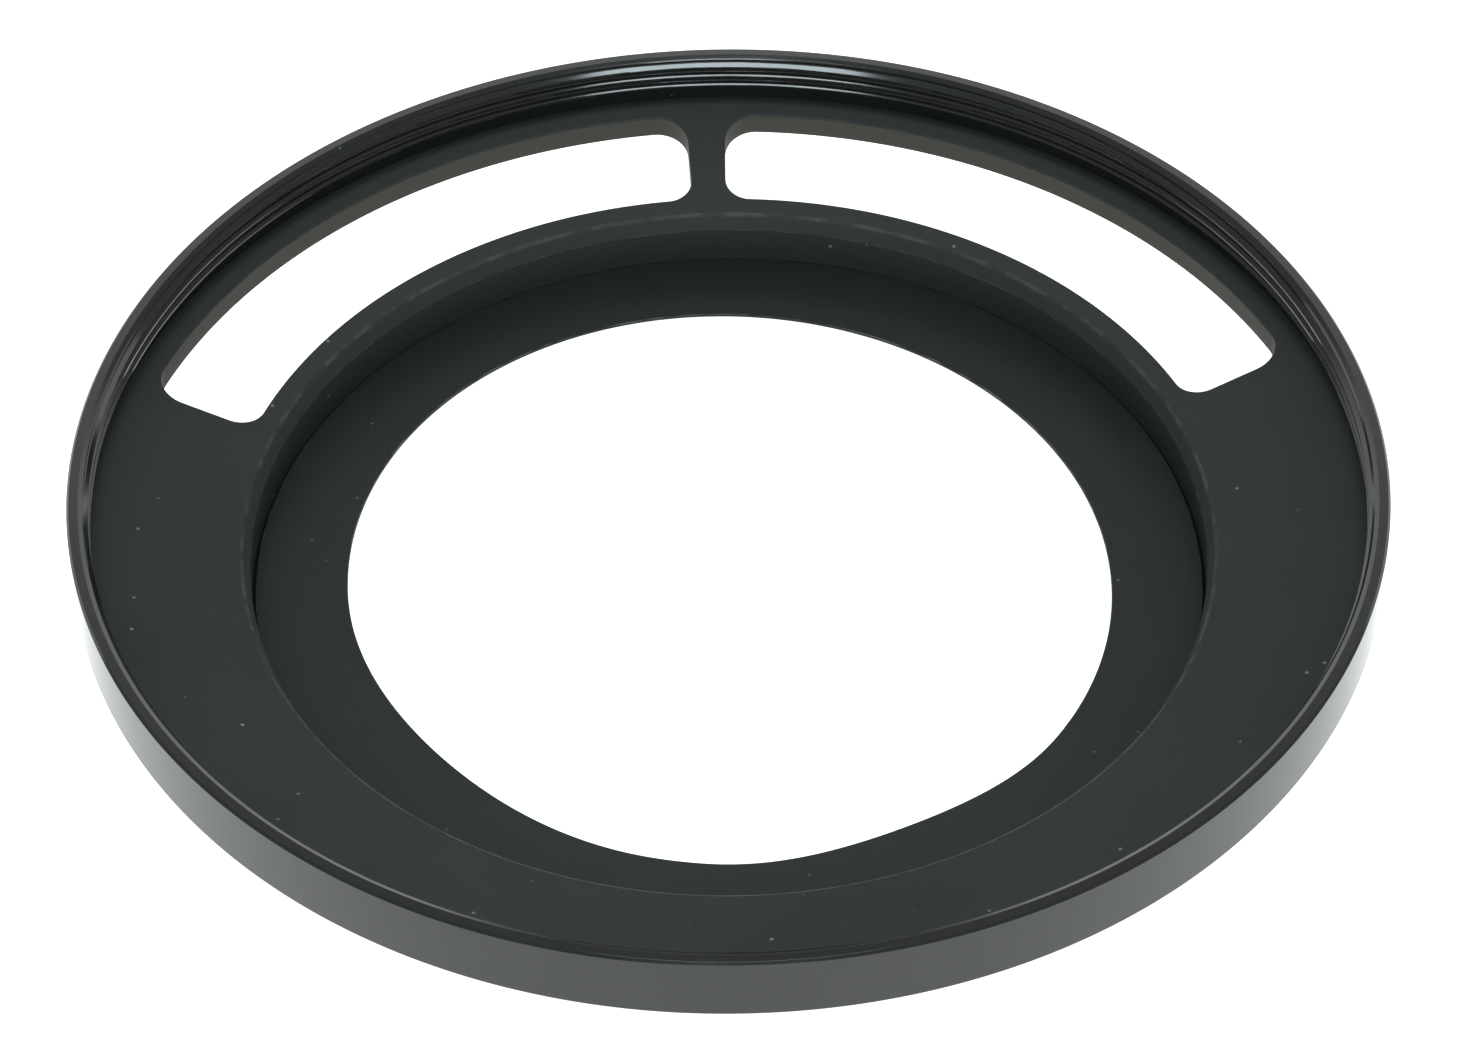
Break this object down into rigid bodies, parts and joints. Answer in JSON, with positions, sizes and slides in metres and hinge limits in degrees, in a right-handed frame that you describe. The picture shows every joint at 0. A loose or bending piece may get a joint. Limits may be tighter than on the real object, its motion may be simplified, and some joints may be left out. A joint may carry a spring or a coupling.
{
  "type": "lens hood",
  "caption": "Shallow round lens hood: a glossy threaded rim, a matte cone with two arc-shaped finder vents split by a rib, and a rear bayonet with a click spring.",
  "frame": {"origin": "on the hood's axis, in the plane of the rear collar's end that it stands on", "axes": "+Z along the axis towards the front rim, +Y along the rib between the two vents, +X to the right seen from the front with the rib up"},
  "size_m": [0.079, 0.079, 0.0122],
  "materials": {
    "gloss_black": "gloss black enamel on turned aluminium",
    "matte_black": "matte black paint on turned aluminium",
    "floor_black": "matte black paint, slightly smoother",
    "satin_black": "satin black anodised aluminium",
    "spring_steel": "spring steel",
    "dark_screw": "blackened steel",
    "brass_screw": "turned brass",
    "bright_pin": "ground steel"
  },
  "bodies": {
    "hood": {"front_ring": "gloss_black", "vented_dish": "matte_black", "mount_plate": "floor_black", "bayonet_ring": "satin_black", "bayonet_screws": "dark_screw", "click_spring_screw": "brass_screw", "locating_pin": "bright_pin", "bayonet_stop_pin": "bright_pin"},
    "click": {"click_spring": "spring_steel"}
  },
  "joints": [
    {"name": "click_flex", "type": "hinge", "parent": "hood", "child": "click", "pos_m": [0.01931, -0.02, 0.001], "axis": [0, 0, 1], "range_deg": [0, 2.2], "stiffness_Nm_per_rad": 0.06}
  ]
}
